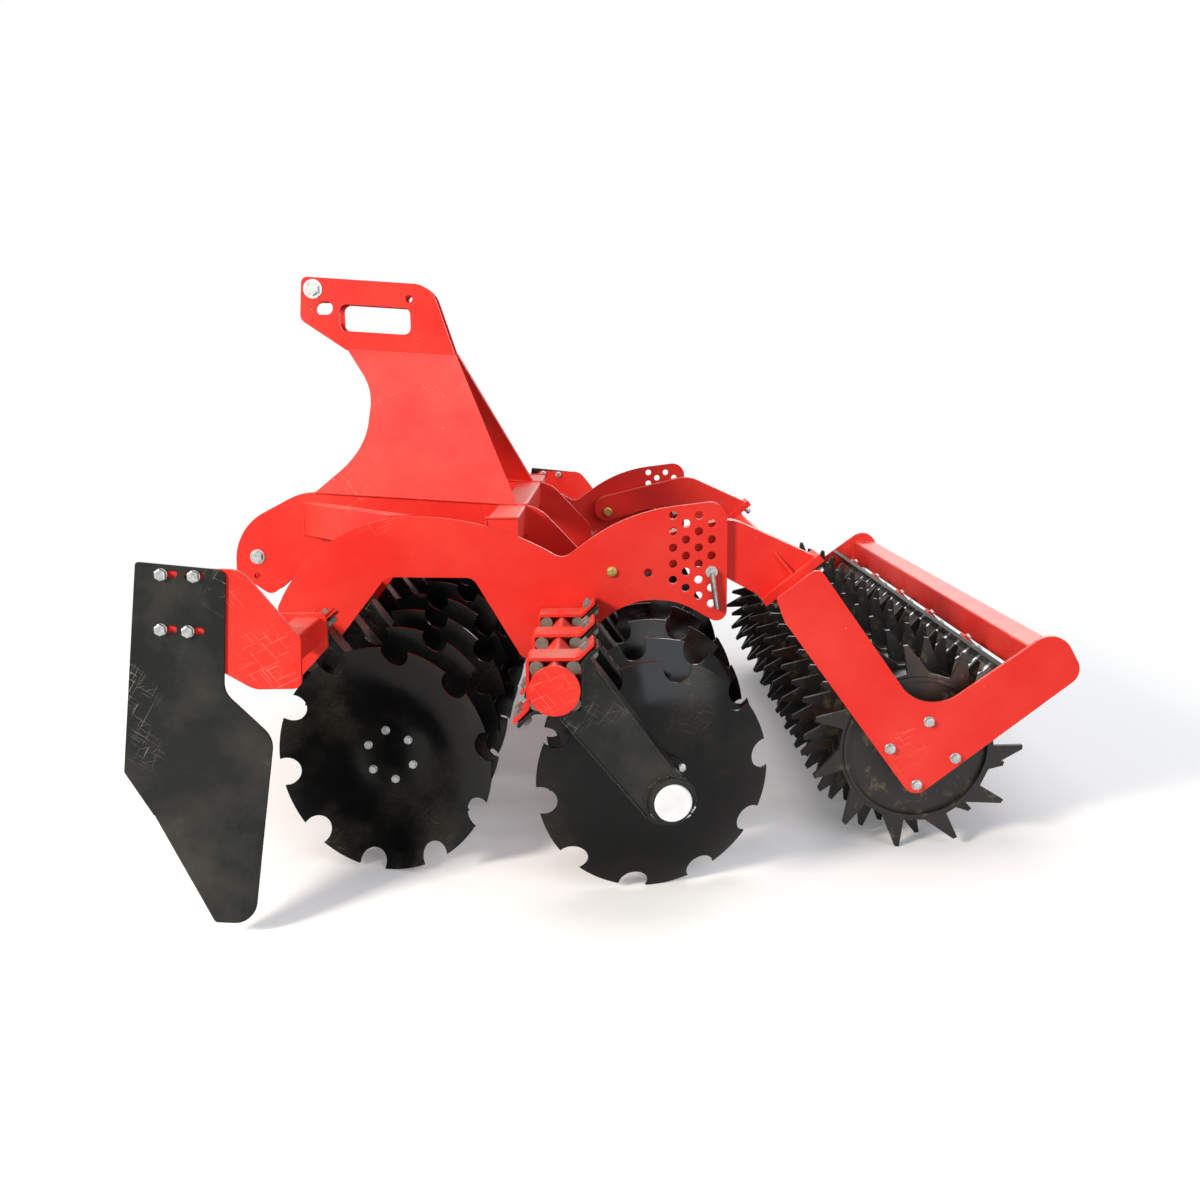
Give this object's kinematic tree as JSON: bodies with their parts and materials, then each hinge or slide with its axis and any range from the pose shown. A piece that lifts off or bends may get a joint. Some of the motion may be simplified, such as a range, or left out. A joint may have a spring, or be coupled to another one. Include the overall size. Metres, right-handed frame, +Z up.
{
  "type": "disc harrow",
  "caption": "Mounted compact disc harrow: two rows of notched discs on rubber-sprung arms, a three-point mast and a trailing toothed roller, red and black.",
  "frame": {"origin": "centre of the bounding box in plan, on the ground", "axes": "+X the way it travels, +Y to its left, +Z up"},
  "size_m": [2.4557, 3.0328, 1.6595],
  "materials": {
    "red_paint": "gloss",
    "black_paint": "gloss, scratched",
    "disc_black": "gloss, dusty below",
    "roller_black": "semi-gloss, dusty",
    "zinc_steel": "zinc plated",
    "yellow_zinc": "yellow zinc plated",
    "rubber": "matt, dusty",
    "white_plastic": "gloss",
    "scraper_steel": "satin"
  },
  "bodies": {
    "frame": {"front_beam": "red_paint", "rear_beam": "red_paint", "beam_end_caps": "red_paint", "clamp_covers": "red_paint", "side_plates": "red_paint", "inner_plates": "red_paint", "lower_link_cheeks": "red_paint", "mast_heads": "red_paint", "mast_legs": "red_paint", "mast_tie_plate": "red_paint", "cross_tube": "red_paint", "diagonal_braces": "red_paint", "deflector_brackets": "red_paint", "disc_arms": "black_paint", "soil_deflectors": "black_paint", "top_link_pin": "zinc_steel", "lower_link_pins": "zinc_steel", "depth_pins": "zinc_steel", "pivot_bolts": "yellow_zinc", "suspension_rubbers": "rubber", "hub_caps": "white_plastic"},
    "roller_frame": {"roller_arms": "red_paint", "roller_cross_beam": "red_paint", "roller_side_plates": "red_paint", "roller_bearings": "roller_black", "rear_bar": "red_paint", "scraper_bar": "black_paint", "scrapers": "scraper_steel", "scraper_clips": "red_paint"},
    "roller": {"roller_drum": "roller_black", "roller_rings": "roller_black"},
    "disc_front_01": {"disc_front_01": "disc_black"},
    "disc_front_02": {"disc_front_02": "disc_black"},
    "disc_front_03": {"disc_front_03": "disc_black"},
    "disc_front_04": {"disc_front_04": "disc_black"},
    "disc_front_05": {"disc_front_05": "disc_black"},
    "disc_front_06": {"disc_front_06": "disc_black"},
    "disc_front_07": {"disc_front_07": "disc_black"},
    "disc_front_08": {"disc_front_08": "disc_black"},
    "disc_front_09": {"disc_front_09": "disc_black"},
    "disc_front_10": {"disc_front_10": "disc_black"},
    "disc_rear_01": {"disc_rear_01": "disc_black"},
    "disc_rear_02": {"disc_rear_02": "disc_black"},
    "disc_rear_03": {"disc_rear_03": "disc_black"},
    "disc_rear_04": {"disc_rear_04": "disc_black"},
    "disc_rear_05": {"disc_rear_05": "disc_black"},
    "disc_rear_06": {"disc_rear_06": "disc_black"},
    "disc_rear_07": {"disc_rear_07": "disc_black"},
    "disc_rear_08": {"disc_rear_08": "disc_black"},
    "disc_rear_09": {"disc_rear_09": "disc_black"},
    "disc_rear_10": {"disc_rear_10": "disc_black"}
  },
  "joints": [
    {"name": "roller_lift", "type": "hinge", "parent": "frame", "child": "roller_frame", "pos_m": [0.022, 0, 0.76], "axis": [0, 1, 0], "range_deg": [0, 10]},
    {"name": "roller_spin", "type": "hinge", "parent": "roller_frame", "child": "roller", "pos_m": [-0.819, 0, 0.2918], "axis": [0, 1, 0], "continuous": true},
    {"name": "disc_front_01_spin", "type": "hinge", "parent": "frame", "child": "disc_front_01", "pos_m": [0.6404, 1.123, 0.30493], "axis": [0.2246, 0.973, 0.0523], "continuous": true},
    {"name": "disc_front_02_spin", "type": "hinge", "parent": "frame", "child": "disc_front_02", "pos_m": [0.6404, 0.873, 0.30493], "axis": [0.2246, 0.973, 0.0523], "continuous": true},
    {"name": "disc_front_03_spin", "type": "hinge", "parent": "frame", "child": "disc_front_03", "pos_m": [0.6404, 0.623, 0.30493], "axis": [0.2246, 0.973, 0.0523], "continuous": true},
    {"name": "disc_front_04_spin", "type": "hinge", "parent": "frame", "child": "disc_front_04", "pos_m": [0.6404, 0.373, 0.30493], "axis": [0.2246, 0.973, 0.0523], "continuous": true},
    {"name": "disc_front_05_spin", "type": "hinge", "parent": "frame", "child": "disc_front_05", "pos_m": [0.6404, 0.123, 0.30493], "axis": [0.2246, 0.973, 0.0523], "continuous": true},
    {"name": "disc_front_06_spin", "type": "hinge", "parent": "frame", "child": "disc_front_06", "pos_m": [0.6404, -0.127, 0.30493], "axis": [0.2246, 0.973, 0.0523], "continuous": true},
    {"name": "disc_front_07_spin", "type": "hinge", "parent": "frame", "child": "disc_front_07", "pos_m": [0.6404, -0.377, 0.30493], "axis": [0.2246, 0.973, 0.0523], "continuous": true},
    {"name": "disc_front_08_spin", "type": "hinge", "parent": "frame", "child": "disc_front_08", "pos_m": [0.6404, -0.627, 0.30493], "axis": [0.2246, 0.973, 0.0523], "continuous": true},
    {"name": "disc_front_09_spin", "type": "hinge", "parent": "frame", "child": "disc_front_09", "pos_m": [0.6404, -0.877, 0.30493], "axis": [0.2246, 0.973, 0.0523], "continuous": true},
    {"name": "disc_front_10_spin", "type": "hinge", "parent": "frame", "child": "disc_front_10", "pos_m": [0.6404, -1.127, 0.30493], "axis": [0.2246, 0.973, 0.0523], "continuous": true},
    {"name": "disc_rear_01_spin", "type": "hinge", "parent": "frame", "child": "disc_rear_01", "pos_m": [-0.0776, 1.252, 0.30493], "axis": [0.2246, -0.973, 0.0523], "continuous": true},
    {"name": "disc_rear_02_spin", "type": "hinge", "parent": "frame", "child": "disc_rear_02", "pos_m": [-0.0776, 1.002, 0.30493], "axis": [0.2246, -0.973, 0.0523], "continuous": true},
    {"name": "disc_rear_03_spin", "type": "hinge", "parent": "frame", "child": "disc_rear_03", "pos_m": [-0.0776, 0.752, 0.30493], "axis": [0.2246, -0.973, 0.0523], "continuous": true},
    {"name": "disc_rear_04_spin", "type": "hinge", "parent": "frame", "child": "disc_rear_04", "pos_m": [-0.0776, 0.502, 0.30493], "axis": [0.2246, -0.973, 0.0523], "continuous": true},
    {"name": "disc_rear_05_spin", "type": "hinge", "parent": "frame", "child": "disc_rear_05", "pos_m": [-0.0776, 0.252, 0.30493], "axis": [0.2246, -0.973, 0.0523], "continuous": true},
    {"name": "disc_rear_06_spin", "type": "hinge", "parent": "frame", "child": "disc_rear_06", "pos_m": [-0.0776, 0.002, 0.30493], "axis": [0.2246, -0.973, 0.0523], "continuous": true},
    {"name": "disc_rear_07_spin", "type": "hinge", "parent": "frame", "child": "disc_rear_07", "pos_m": [-0.0776, -0.248, 0.30493], "axis": [0.2246, -0.973, 0.0523], "continuous": true},
    {"name": "disc_rear_08_spin", "type": "hinge", "parent": "frame", "child": "disc_rear_08", "pos_m": [-0.0776, -0.498, 0.30493], "axis": [0.2246, -0.973, 0.0523], "continuous": true},
    {"name": "disc_rear_09_spin", "type": "hinge", "parent": "frame", "child": "disc_rear_09", "pos_m": [-0.0776, -0.748, 0.30493], "axis": [0.2246, -0.973, 0.0523], "continuous": true},
    {"name": "disc_rear_10_spin", "type": "hinge", "parent": "frame", "child": "disc_rear_10", "pos_m": [-0.0776, -0.998, 0.30493], "axis": [0.2246, -0.973, 0.0523], "continuous": true}
  ]
}
